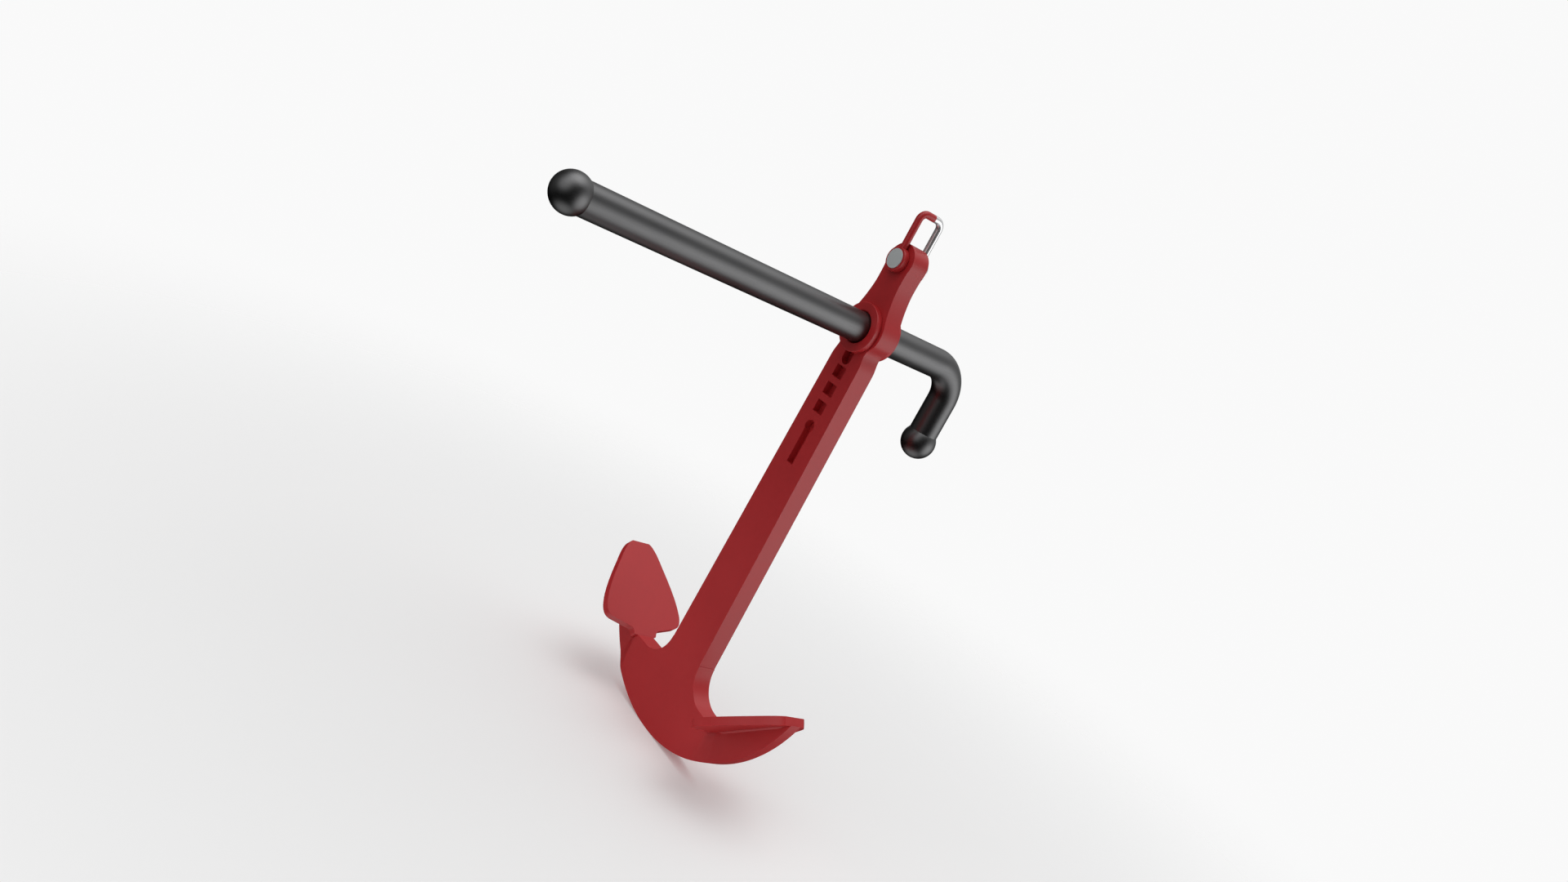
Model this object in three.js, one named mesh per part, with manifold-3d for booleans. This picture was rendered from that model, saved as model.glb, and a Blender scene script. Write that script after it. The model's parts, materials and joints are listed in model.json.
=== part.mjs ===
// Stocked anchor (Admiralty pattern) with a sliding bent stock, millimetres, +Z up.
// The origin is the point inside the shackle's bow where the rode pulls.
// X runs along the arms, Y along the stock, Z up the shank.
import * as THREE from 'three';
import { mergeVertices } from 'three/addons/utils/BufferGeometryUtils.js';
import Module from 'manifold-3d';

const wasm = await Module();
wasm.setup();

// ---------- driving dimensions ----------
const FIT = 0.3;                 // gap between pieces that touch
const HALF_PI = Math.PI / 2;

const PLATE = 20;                // thickness of shank and crown
const HALF_PLATE = PLATE / 2;

const ROD_RADIUS = 15;           // stock bar
const BEND_RADIUS = 33;          // centreline of the stock's bend
const LONG_END = 340.8;          // stock axis to the centre of the long end's ball
const BENT_END = 130.5;          // eye centre to the leg's centreline
const LEG_DROP = 79.9;           // stock axis to the centre of the leg's ball
const BALL_RADIUS = 18.15;
const BALL_FLAT = Math.sqrt(BALL_RADIUS * BALL_RADIUS - ROD_RADIUS * ROD_RADIUS);
const STUD_RADIUS = 6;           // stud that holds a ball
const STUD_IN_ROD = 20;
const STUD_IN_BALL = 13;
const GRUB_RADIUS = 2.5;
const GRUB_LENGTH = 8;

const HEAD_RADIUS = 18;          // rounded top of the shank
const PIN_ABOVE_EYE = 71.4;      // stock eye to shackle pin
const NECK_HALF = 16.4;
const BOSS_RADIUS = 28;          // swelling round the stock eye
const WAIST_HALF = 19.9;         // narrowest place under the boss
const SHANK_TOP_HALF = 22.3;
const SHANK_FOOT_HALF = 27.4;
const SHANK_FOOT = -361.5;       // joint between shank and crown, below the eye
const TENON_HALF_WIDTH = 14;     // tongue under the shank, let into the crown
const TENON_HALF_THICKNESS = 4;
const TENON_DEPTH = 28;
const WELD_GROOVE = 3;           // depth of the V along the joint

const CROWN_RADIUS = 174;        // outer sweep of crown and arms
const CROWN_CENTRE = -278.4;
const THROAT_RADIUS = 31;
const THROAT_CENTRE = 58.9;
const ARM_THICKNESS = 12;        // arms are thinner than the crown
// the slope between crown and arm: [rise above the palm's face, start, end], both along the palm
const ARM_SLOPE = [[0, -199.1, -193.7], [-60, -265.8, -218.2]];

const PALM_ANGLE = 0.6928;       // palm plane against the horizontal
const PALM_THICKNESS = 8;
const PALM_ORIGIN = new THREE.Vector3(235.3, 0, -262.35);
const PALM_NECK = -204.6;        // places along the palm, measured towards the bill
const PALM_TIP = -98.4;
const PALM_TIP_HALF = 11;
const PALM_NECK_HALF = 14.3;
const PALM_EAR_HALF = 47.8;
const WELD_START = -192.6;
const WELD_LEG = 2;              // fillet under a palm

const COLLAR_RADIUS = 24.6;
const COLLAR_HEIGHT = 6.2;
const COLLAR_BORE = 15.4;
const COLLAR_CHAMFER = 1.5;
const EYE_BORE = 17.5;
const LOCK_BORE = 5.3;           // clamp screw in the boss's edge
const LOCK_RADIUS = 5;
const LOCK_HEAD = 6.5;
const PAD_LENGTH = 2.6;

const BAR_RADIUS = 3.5;          // shackle bar
const BOW_HALF = 13.9;
const BOW_CORNER = 7.5;
const BOW_RISE = 48.6;           // pin axis to the bar's centreline at the top
const BOW_SPLIT = 2;             // where the painted half meets the polished half
const LUG_RADIUS = 12;
const LUG_INNER = HALF_PLATE + FIT;
const LUG_OUTER = 17;
const PIN_RADIUS = 5.1;
const PIN_HEAD_RADIUS = 9.7;
const PIN_HEAD_FACE = 17.8;
const BOW_STUD_RADIUS = 1.5;     // stud inside the bar where its halves meet
const BOW_STUD_HALF = 4;
const HEAD_BUSH_RADIUS = 7.2;

const POCKET_DEPTH = 7.5;        // recesses in the shank's front face
const POCKET_HALF_WIDTH = 7.3;
const POCKET_HALF_HEIGHT = 6.2;
const POCKET_ROUND = 6.6;
const SLOT_HALF = 4.8;

const EYE_Z = BAR_RADIUS - BOW_RISE - PIN_ABOVE_EYE;

// ---------- materials ----------
const finish = (color, roughness, metalness) => () =>
  new THREE.MeshStandardMaterial({ color, roughness, metalness });
const redPaint = finish(0x9a2428, 0.45, 0.1);
const darkSteel = finish(0x3c3c3e, 0.35, 0.6);
const polishedSteel = finish(0xe4e4e6, 0.12, 1.0);
const greySteel = finish(0x9a9f9f, 0.4, 0.8);
const bronze = finish(0xa07a3c, 0.4, 0.9);

// ---------- solids ----------
function toSolid(geometry) {
  const bare = geometry.index ? geometry.toNonIndexed() : geometry.clone();
  bare.deleteAttribute('normal');
  bare.deleteAttribute('uv');
  const merged = mergeVertices(bare, 1e-4);
  return new wasm.Manifold(new wasm.Mesh({
    numProp: 3,
    vertProperties: Float32Array.from(merged.attributes.position.array),
    triVerts: Uint32Array.from(merged.index.array),
  }));
}

function toGeometry(solid) {
  const mesh = solid.getMesh();
  const geometry = new THREE.BufferGeometry();
  geometry.setAttribute('position', new THREE.BufferAttribute(Float32Array.from(mesh.vertProperties), 3));
  geometry.setIndex(new THREE.BufferAttribute(Uint32Array.from(mesh.triVerts), 1));
  return geometry;
}

function namedMesh(name, shape, material) {
  const geometry = shape instanceof THREE.BufferGeometry ? shape : toGeometry(shape);
  const mesh = new THREE.Mesh(geometry, material());
  mesh.name = name;
  return mesh;
}

// Plate cut to an outline in X and Z, from y = low to y = high.
function plate(points, low, high) {
  const shape = new THREE.Shape(points);
  const geometry = new THREE.ExtrudeGeometry(shape, { depth: high - low, bevelEnabled: false });
  geometry.rotateX(HALF_PI);
  geometry.translate(0, high, 0);
  return geometry;
}

// Round bar along Y, from y = low to y = high.
function barY(radius, low, high, x = 0, z = 0, sides = 24) {
  const geometry = new THREE.CylinderGeometry(radius, radius, high - low, sides);
  geometry.translate(x, (low + high) / 2, z);
  return geometry;
}

// Turned piece about the Y axis; profile points are [radius, y] and start and end on the axis.
function turnedY(profile, sides) {
  return new THREE.LatheGeometry(profile.map(([radius, y]) => new THREE.Vector2(radius, y)), sides);
}

// Ring about the Y axis; the closed profile runs anticlockwise in radius and y.
function ringY(profile, sides) {
  return turnedY([...profile, profile[0]], sides);
}

// Bar that runs straight, turns one quarter bend and runs straight again.
class BentPath extends THREE.Curve {
  constructor(start, corner, end, radius, bendSteps) {
    super();
    const inDirection = corner.clone().sub(start).normalize();
    const outDirection = end.clone().sub(corner).normalize();
    this.start = start;
    this.end = end;
    this.bendStart = corner.clone().addScaledVector(inDirection, -radius);
    this.centre = this.bendStart.clone().addScaledVector(outDirection, radius);
    this.inDirection = inDirection;
    this.outDirection = outDirection;
    this.radius = radius;
    this.steps = bendSteps + 2;
  }

  getPoint(t, target = new THREE.Vector3()) {
    const station = t * this.steps;
    const bendSteps = this.steps - 2;
    if (station <= 1) return target.copy(this.start).lerp(this.bendStart, station);
    if (station >= this.steps - 1) {
      const bendEnd = this.centre.clone().addScaledVector(this.inDirection, this.radius);
      return target.copy(bendEnd).lerp(this.end, station - this.steps + 1);
    }
    const angle = HALF_PI * (station - 1) / bendSteps;
    return target.copy(this.centre)
      .addScaledVector(this.outDirection, -this.radius * Math.cos(angle))
      .addScaledVector(this.inDirection, this.radius * Math.sin(angle));
  }

  getPointAt(u, target) {
    return this.getPoint(u, target);
  }

  getTangentAt(u) {
    const station = u * this.steps;
    const angle = HALF_PI * THREE.MathUtils.clamp((station - 1) / (this.steps - 2), 0, 1);
    return this.inDirection.clone().multiplyScalar(Math.cos(angle))
      .addScaledVector(this.outDirection, Math.sin(angle));
  }
}

function bentBar(radius, start, corner, end, bend, sides, bendSteps) {
  const section = new THREE.Shape();
  section.setFromPoints(Array.from({ length: sides }, (_, i) => {
    const angle = 2 * Math.PI * i / sides;
    return new THREE.Vector2(radius * Math.cos(angle), radius * Math.sin(angle));
  }));
  const path = new BentPath(start, corner, end, bend, bendSteps);
  return new THREE.ExtrudeGeometry(section, { extrudePath: path, steps: path.steps, bevelEnabled: false });
}

const mirrored = (points) => [
  ...points,
  ...points.slice().reverse().filter((p) => p.x > 0.01).map((p) => new THREE.Vector2(-p.x, p.y)),
];

// ---------- shank ----------
function shankOutline() {
  const half = new THREE.Path();
  const headLeave = -0.26;
  const bossMeet = 0.454;
  const bossLeave = -0.21;
  const polar = (radius, angle, z) => [radius * Math.cos(angle), z + radius * Math.sin(angle)];
  const [headX, headZ] = polar(HEAD_RADIUS, headLeave, PIN_ABOVE_EYE);
  const [meetX, meetZ] = polar(BOSS_RADIUS, bossMeet, 0);
  const [leaveX, leaveZ] = polar(BOSS_RADIUS, bossLeave, 0);
  half.absarc(0, PIN_ABOVE_EYE, HEAD_RADIUS, HALF_PI, headLeave, true);
  half.bezierCurveTo(headX - 0.8, headZ - 3, NECK_HALF, 57, NECK_HALF, 50);
  half.bezierCurveTo(NECK_HALF, 40, meetX - 4.8, meetZ + 9.9, meetX, meetZ);
  half.absarc(0, 0, BOSS_RADIUS, bossMeet, bossLeave, true);
  half.bezierCurveTo(leaveX - 1, leaveZ - 4.9, WAIST_HALF, -14.5, WAIST_HALF, -20.5);
  half.bezierCurveTo(WAIST_HALF, -25, SHANK_TOP_HALF - 0.1, -29.5, SHANK_TOP_HALF, -36);
  half.lineTo(SHANK_FOOT_HALF, SHANK_FOOT);
  return half.getPoints(8).filter((p, i, all) => i === 0 || p.distanceTo(all[i - 1]) > 0.05);
}

function box(x0, x1, y0, y1, z0, z1) {
  const geometry = new THREE.BoxGeometry(x1 - x0, y1 - y0, z1 - z0);
  geometry.translate((x0 + x1) / 2, (y0 + y1) / 2, (z0 + z1) / 2);
  return geometry;
}

// 45 degree V along the joint on one face, from a depth inside the plate to a rise above its face.
function jointPrism(side, halfWidth, depth, rise) {
  const inner = side * (HALF_PLATE - depth);
  const outer = side * (HALF_PLATE + rise);
  const halfOpening = depth + rise;
  const shape = new THREE.Shape([
    new THREE.Vector2(inner, SHANK_FOOT),
    new THREE.Vector2(outer, SHANK_FOOT - halfOpening),
    new THREE.Vector2(outer, SHANK_FOOT + halfOpening),
  ]);
  const geometry = new THREE.ExtrudeGeometry(shape, { depth: 2 * halfWidth, bevelEnabled: false });
  const axes = new THREE.Matrix4().makeBasis(
    new THREE.Vector3(0, 1, 0), new THREE.Vector3(0, 0, 1), new THREE.Vector3(1, 0, 0));
  geometry.applyMatrix4(axes);
  geometry.translate(-halfWidth, 0, 0);
  return geometry;
}

const weldGroove = (side) => toSolid(jointPrism(side, 2 * SHANK_FOOT_HALF, WELD_GROOVE, 1));

// Square pockets, a keyhole below them and a round-ended slot that runs up under the collar.
function facePockets() {
  const front = -HALF_PLATE;
  const deep = front + POCKET_DEPTH;
  const squares = [-46.2, -65.2, -84.5].map((z) =>
    toSolid(box(-POCKET_HALF_WIDTH, POCKET_HALF_WIDTH, front - 1, deep,
      z - POCKET_HALF_HEIGHT, z + POCKET_HALF_HEIGHT)));
  const keyhole = toSolid(barY(POCKET_ROUND, front - 1, deep, 0, -105.5, 20))
    .add(toSolid(box(-SLOT_HALF, SLOT_HALF, front - 1, deep, -145.8, -105.5)));
  const slot = toSolid(barY(POCKET_ROUND, front - 1, deep, 0, -31.1, 20))
    .add(toSolid(box(-POCKET_ROUND, POCKET_ROUND, front - 1, deep, -31.1, -19.5)));
  return [...squares, keyhole, slot];
}

function shankSolid() {
  let solid = toSolid(plate(mirrored(shankOutline()), -HALF_PLATE, HALF_PLATE));
  solid = solid.add(toSolid(box(-TENON_HALF_WIDTH, TENON_HALF_WIDTH, -TENON_HALF_THICKNESS,
    TENON_HALF_THICKNESS, SHANK_FOOT - TENON_DEPTH, SHANK_FOOT + 1)));
  solid = solid.subtract(toSolid(barY(EYE_BORE, -20, 20, 0, 0, 32)));
  solid = solid.subtract(toSolid(barY(HEAD_BUSH_RADIUS + FIT, -20, 20, 0, PIN_ABOVE_EYE, 20)));
  const lockBore = new THREE.CylinderGeometry(LOCK_BORE, LOCK_BORE, 20, 16);
  lockBore.rotateZ(HALF_PI);
  lockBore.translate(-EYE_BORE - 8, 0, 0);
  solid = solid.subtract(toSolid(lockBore));
  for (const pocket of facePockets()) solid = solid.subtract(pocket);
  for (const side of [-1, 1]) {
    solid = solid.subtract(weldGroove(side));
  }
  return solid;
}

// ---------- crown and arms ----------
const alongPalm = new THREE.Vector3(Math.cos(PALM_ANGLE), 0, Math.sin(PALM_ANGLE));
const offPalm = new THREE.Vector3(-Math.sin(PALM_ANGLE), 0, Math.cos(PALM_ANGLE));

function palmPoint(along, depth) {
  const p = PALM_ORIGIN.clone().addScaledVector(alongPalm, along).addScaledVector(offPalm, -depth);
  return new THREE.Vector2(p.x, p.z);
}

// Where the arm's inner edge runs out into the outer sweep: the bill.
function billAlong() {
  const start = palmPoint(0, PALM_THICKNESS + FIT).sub(new THREE.Vector2(0, CROWN_CENTRE));
  const slope = start.x * alongPalm.x + start.y * alongPalm.z;
  return -slope + Math.sqrt(slope * slope - start.lengthSq() + CROWN_RADIUS * CROWN_RADIUS);
}

function crownOutline() {
  const joint = SHANK_FOOT - FIT;
  const bill = palmPoint(billAlong(), PALM_THICKNESS + FIT);
  const billAngle = Math.atan2(bill.y - CROWN_CENTRE, bill.x);
  const half = new THREE.Path();
  half.moveTo(0, joint);
  half.lineTo(THROAT_CENTRE - THROAT_RADIUS, joint);
  half.absarc(THROAT_CENTRE, joint, THROAT_RADIUS, Math.PI, 1.5 * Math.PI, false);
  for (const [along, depth] of [[PALM_NECK, 0], [PALM_NECK, PALM_THICKNESS + FIT]]) {
    const p = palmPoint(along, depth);
    half.lineTo(p.x, p.y);
  }
  half.lineTo(bill.x, bill.y);
  half.absarc(0, CROWN_CENTRE, CROWN_RADIUS, billAngle, -HALF_PI, true);
  return half.getPoints(14).filter((p, i, all) => i === 0 || p.distanceTo(all[i - 1]) > 0.05);
}

// Moves a solid made in the palm's own axes (x along it, z out of its face) into place.
function onPalm(geometry) {
  geometry.rotateY(-PALM_ANGLE);
  geometry.translate(PALM_ORIGIN.x, 0, PALM_ORIGIN.z);
  return geometry;
}

// Block that thins one face of an arm; its slope is short at the palm and fans out to the outer sweep.
function armThinner(side) {
  const arm = ARM_THICKNESS / 2;
  const corners = ARM_SLOPE.flatMap(([rise, start, end]) => [
    [start, HALF_PLATE + 0.1], [end, arm], [0, arm], [0, PLATE], [start, PLATE],
  ].map(([along, y]) => {
    const p = PALM_ORIGIN.clone().addScaledVector(alongPalm, along).addScaledVector(offPalm, rise);
    return [p.x, side * y, p.z];
  }));
  return wasm.Manifold.hull(corners);
}

function crownSolid() {
  let solid = toSolid(plate(mirrored(crownOutline()), -HALF_PLATE, HALF_PLATE));
  for (const side of [-1, 1]) {
    const thinner = armThinner(side);
    solid = solid.subtract(thinner).subtract(thinner.rotate([0, 0, 180]));
    solid = solid.subtract(weldGroove(side));
  }
  return solid.subtract(toSolid(box(-TENON_HALF_WIDTH - FIT, TENON_HALF_WIDTH + FIT,
    -TENON_HALF_THICKNESS - FIT, TENON_HALF_THICKNESS + FIT,
    SHANK_FOOT - TENON_DEPTH - FIT, SHANK_FOOT + 1)));
}

function crownWelds() {
  const depth = WELD_GROOVE - FIT * Math.SQRT2;
  return [['front', -1], ['rear', 1]].map(([where, side]) =>
    namedMesh(`crown_weld_${where}`, jointPrism(side, SHANK_FOOT_HALF - 0.5, depth, 0), redPaint));
}

// ---------- palms ----------
function palmOutline() {
  const half = new THREE.Path();
  half.moveTo(PALM_TIP, 0);
  half.lineTo(PALM_TIP, PALM_TIP_HALF);
  half.bezierCurveTo(PALM_TIP - 3, PALM_TIP_HALF + 6, PALM_TIP - 12, 22, PALM_TIP - 24, 27.5);
  half.bezierCurveTo(PALM_TIP - 44, 37.5, PALM_TIP - 62, 46, PALM_TIP - 78, PALM_EAR_HALF);
  half.bezierCurveTo(PALM_TIP - 88, PALM_EAR_HALF + 0.4, PALM_TIP - 91, 44, PALM_TIP - 92.5, 38);
  half.bezierCurveTo(PALM_TIP - 95, 29, PALM_TIP - 97, 22, PALM_TIP - 98.5, 17);
  half.bezierCurveTo(PALM_TIP - 99.5, PALM_NECK_HALF + 1, PALM_NECK + 4, PALM_NECK_HALF,
    PALM_NECK + FIT, PALM_NECK_HALF);
  const points = half.getPoints(7).filter((p, i, all) => i === 0 || p.distanceTo(all[i - 1]) > 0.05);
  const otherSide = points.slice(1).reverse().map((p) => new THREE.Vector2(p.x, -p.y));
  return [...points, ...otherSide];
}

function palmGeometry() {
  const shape = new THREE.Shape(palmOutline());
  const geometry = new THREE.ExtrudeGeometry(shape, { depth: PALM_THICKNESS, bevelEnabled: false });
  geometry.translate(0, 0, -PALM_THICKNESS);
  return onPalm(geometry);
}

// Fillet weld in the corner between a palm's back and one face of its arm.
function palmWeldGeometry(side) {
  const arm = ARM_THICKNESS / 2 + FIT;
  const back = -PALM_THICKNESS - FIT;
  const shape = new THREE.Shape([
    new THREE.Vector2(side * arm, back),
    new THREE.Vector2(side * (arm + WELD_LEG), back),
    new THREE.Vector2(side * arm, back - WELD_LEG),
  ]);
  const length = PALM_TIP - 8 - WELD_START;
  const geometry = new THREE.ExtrudeGeometry(shape, { depth: length, bevelEnabled: false });
  geometry.applyMatrix4(new THREE.Matrix4().makeBasis(
    new THREE.Vector3(0, 1, 0), new THREE.Vector3(0, 0, 1), new THREE.Vector3(1, 0, 0)));
  geometry.translate(WELD_START, 0, 0);
  return onPalm(geometry);
}

function palmPieces() {
  const pieces = [];
  for (const [hand, turn] of [['right', 0], ['left', Math.PI]]) {
    const group = new THREE.Group();
    group.rotation.z = turn;
    group.add(namedMesh(`palm_${hand}`, palmGeometry(), redPaint));
    for (const side of [-1, 1]) {
      const where = side * Math.cos(turn) < 0 ? 'front' : 'rear';
      group.add(namedMesh(`palm_weld_${hand}_${where}`, palmWeldGeometry(side), redPaint));
    }
    pieces.push(group);
  }
  return pieces;
}

// ---------- stock eye ----------
function collar(where, side) {
  const foot = HALF_PLATE + FIT;
  const top = foot + COLLAR_HEIGHT;
  const geometry = ringY([
    [COLLAR_BORE, foot],
    [COLLAR_RADIUS, foot],
    [COLLAR_RADIUS, top - 0.8],
    [COLLAR_RADIUS - 0.8, top],
    [COLLAR_BORE + COLLAR_CHAMFER, top],
    [COLLAR_BORE, top - COLLAR_CHAMFER],
  ], 32);
  if (side < 0) geometry.rotateX(Math.PI);
  return namedMesh(`eye_collar_${where}`, geometry, redPaint);
}

function eyeBush() {
  const half = HALF_PLATE - FIT;
  const inner = ROD_RADIUS + FIT;
  const outer = EYE_BORE - FIT;
  const ring = ringY([[inner, -half], [outer, -half], [outer, half], [inner, half]], 32);
  const split = box(-1, 1, -half - 1, half + 1, inner - 2, outer + 2);
  return namedMesh('eye_bush', toSolid(ring).subtract(toSolid(split)), bronze);
}

// Clamp screw in the boss's edge: a soft pad bears on the split bush, a square-head screw drives it.
function lockPieces() {
  const tip = -EYE_BORE - FIT;
  const alongX = (radius, from, to, sides) => {
    const geometry = new THREE.CylinderGeometry(radius, radius, to - from, sides);
    geometry.rotateZ(HALF_PI);
    geometry.translate((from + to) / 2, 0, 0);
    return geometry;
  };
  const shaftStart = tip - PAD_LENGTH - FIT;
  const headStart = -BOSS_RADIUS - 2.5;
  const shaft = toSolid(alongX(LOCK_RADIUS, headStart - 1, shaftStart, 16));
  const head = toSolid(box(headStart - LOCK_HEAD, headStart, -5, 5, -5, 5));
  return [
    namedMesh('lock_pad', alongX(LOCK_RADIUS - 0.6, tip - PAD_LENGTH, tip, 16), bronze),
    namedMesh('lock_screw', shaft.add(head), greySteel),
  ];
}

// ---------- stock ----------
function stockRod() {
  const longEnd = new THREE.Vector3(0, -LONG_END + BALL_FLAT, 0);
  const corner = new THREE.Vector3(0, BENT_END, 0);
  const legEnd = new THREE.Vector3(0, BENT_END, -LEG_DROP + BALL_FLAT);
  const bar = toSolid(bentBar(ROD_RADIUS, longEnd, corner, legEnd, BEND_RADIUS, 24, 8));
  const longBore = barY(STUD_RADIUS + FIT, longEnd.y - 5, longEnd.y + STUD_IN_ROD + FIT, 0, 0, 16);
  const legBore = new THREE.CylinderGeometry(STUD_RADIUS + FIT, STUD_RADIUS + FIT,
    STUD_IN_ROD + FIT + 5, 16);
  legBore.rotateX(HALF_PI);
  legBore.translate(0, BENT_END, legEnd.z + (STUD_IN_ROD + FIT - 5) / 2);
  return namedMesh('stock_rod', bar.subtract(toSolid(longBore)).subtract(toSolid(legBore)), darkSteel);
}

// Ball with a flat that meets the bar, a blind hole for its stud and a side hole for its grub screw.
// It is made with its centre at the origin and its flat facing +Y.
function ballPieces(name) {
  const sphere = toSolid(new THREE.SphereGeometry(BALL_RADIUS, 28, 18));
  const flat = toSolid(box(-20, 20, BALL_FLAT - FIT, 30, -20, 20));
  const bore = toSolid(barY(STUD_RADIUS + FIT, BALL_FLAT - FIT - STUD_IN_BALL - 1, 20, 0, 0, 16));
  const grubHole = new THREE.CylinderGeometry(GRUB_RADIUS + FIT, GRUB_RADIUS + FIT, 20, 12);
  grubHole.rotateZ(HALF_PI);
  const grubY = BALL_FLAT - STUD_IN_BALL + 4;
  grubHole.translate(-STUD_RADIUS - 10, grubY, 0);
  const grub = new THREE.CylinderGeometry(GRUB_RADIUS, GRUB_RADIUS, GRUB_LENGTH, 12);
  grub.rotateZ(HALF_PI);
  grub.translate(-STUD_RADIUS - FIT - GRUB_LENGTH / 2, grubY, 0);
  const stud = barY(STUD_RADIUS, BALL_FLAT - STUD_IN_BALL, BALL_FLAT + STUD_IN_ROD, 0, 0, 16);
  return [
    namedMesh(name, sphere.subtract(flat).subtract(bore).subtract(toSolid(grubHole)), darkSteel),
    namedMesh(`${name}_stud`, stud, greySteel),
    namedMesh(`${name}_grub_screw`, grub, greySteel),
  ];
}

function stockPieces() {
  const longGroup = new THREE.Group();
  longGroup.position.set(0, -LONG_END, 0);
  longGroup.add(...ballPieces('long_ball'));
  const legGroup = new THREE.Group();
  legGroup.position.set(0, BENT_END, -LEG_DROP);
  legGroup.rotation.x = HALF_PI;
  legGroup.add(...ballPieces('leg_ball'));
  return [stockRod(), longGroup, legGroup];
}

// ---------- shackle ----------
// One side of the bow with its lug, in axes centred on the pin.
function bowHalf(name, side, material) {
  const bar = bentBar(BAR_RADIUS, new THREE.Vector3(0, side * BOW_HALF, LUG_RADIUS - 4),
    new THREE.Vector3(0, side * BOW_HALF, BOW_RISE),
    new THREE.Vector3(0, BOW_SPLIT + (side < 0 ? 0 : FIT), BOW_RISE), BOW_CORNER, 14, 6);
  const lug = barY(LUG_RADIUS, Math.min(side * LUG_INNER, side * LUG_OUTER),
    Math.max(side * LUG_INNER, side * LUG_OUTER), 0, 0, 28);
  let solid = toSolid(bar).add(toSolid(lug));
  solid = solid.subtract(toSolid(barY(PIN_RADIUS + FIT, -30, 30, 0, 0, 20)));
  solid = solid.subtract(toSolid(barY(BOW_STUD_RADIUS + FIT, BOW_SPLIT - BOW_STUD_HALF - FIT,
    BOW_SPLIT + BOW_STUD_HALF + FIT, 0, BOW_RISE, 12)));
  if (side < 0) {
    const countersink = turnedY([
      [0, -LUG_OUTER - 1],
      [PIN_HEAD_RADIUS + FIT, -LUG_OUTER - 1],
      [PIN_HEAD_RADIUS + FIT, -LUG_OUTER],
      [PIN_RADIUS, -LUG_OUTER + PIN_HEAD_RADIUS - PIN_RADIUS + FIT],
      [0, -LUG_OUTER + PIN_HEAD_RADIUS - PIN_RADIUS + FIT],
    ], 28);
    solid = solid.subtract(toSolid(countersink));
  }
  return namedMesh(name, solid, material);
}

function shacklePin() {
  const cone = PIN_HEAD_RADIUS - PIN_RADIUS;
  const profile = [
    [0, -PIN_HEAD_FACE],
    [PIN_HEAD_RADIUS - 0.5, -PIN_HEAD_FACE],
    [PIN_HEAD_RADIUS, -PIN_HEAD_FACE + 0.4],
    [PIN_HEAD_RADIUS, -LUG_OUTER],
    [PIN_RADIUS, -LUG_OUTER + cone],
    [PIN_RADIUS, LUG_OUTER - 0.6],
    [PIN_RADIUS - 0.6, LUG_OUTER],
    [0, LUG_OUTER],
  ];
  return namedMesh('shackle_pin', turnedY(profile, 28), greySteel);
}

function shacklePieces() {
  const stud = barY(BOW_STUD_RADIUS, BOW_SPLIT - BOW_STUD_HALF, BOW_SPLIT + BOW_STUD_HALF, 0, BOW_RISE, 12);
  return [
    bowHalf('shackle_painted_half', -1, redPaint),
    bowHalf('shackle_polished_half', 1, polishedSteel),
    namedMesh('shackle_joint_stud', stud, greySteel),
    shacklePin(),
  ];
}

function headBush() {
  const half = HALF_PLATE - FIT;
  const inner = PIN_RADIUS + FIT;
  const ring = ringY([
    [inner, -half], [HEAD_BUSH_RADIUS, -half], [HEAD_BUSH_RADIUS, half], [inner, half]], 20);
  return namedMesh('head_bush', ring, bronze);
}

// ---------- assembly ----------
const anchor = new THREE.Group();

const fromEye = new THREE.Group();
fromEye.position.z = EYE_Z;
fromEye.add(namedMesh('shank', shankSolid(), redPaint));
fromEye.add(namedMesh('crown_arms', crownSolid(), redPaint));
fromEye.add(...crownWelds());
fromEye.add(...palmPieces());
fromEye.add(collar('front', -1), collar('rear', 1));
fromEye.add(eyeBush(), ...lockPieces());
fromEye.add(...stockPieces());
anchor.add(fromEye);

const fromPin = new THREE.Group();
fromPin.position.z = EYE_Z + PIN_ABOVE_EYE;
fromPin.add(headBush(), ...shacklePieces());
anchor.add(fromPin);

export default anchor;
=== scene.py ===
import json
import math

import bmesh
import bpy
from mathutils import Matrix, Quaternion, Vector


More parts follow.
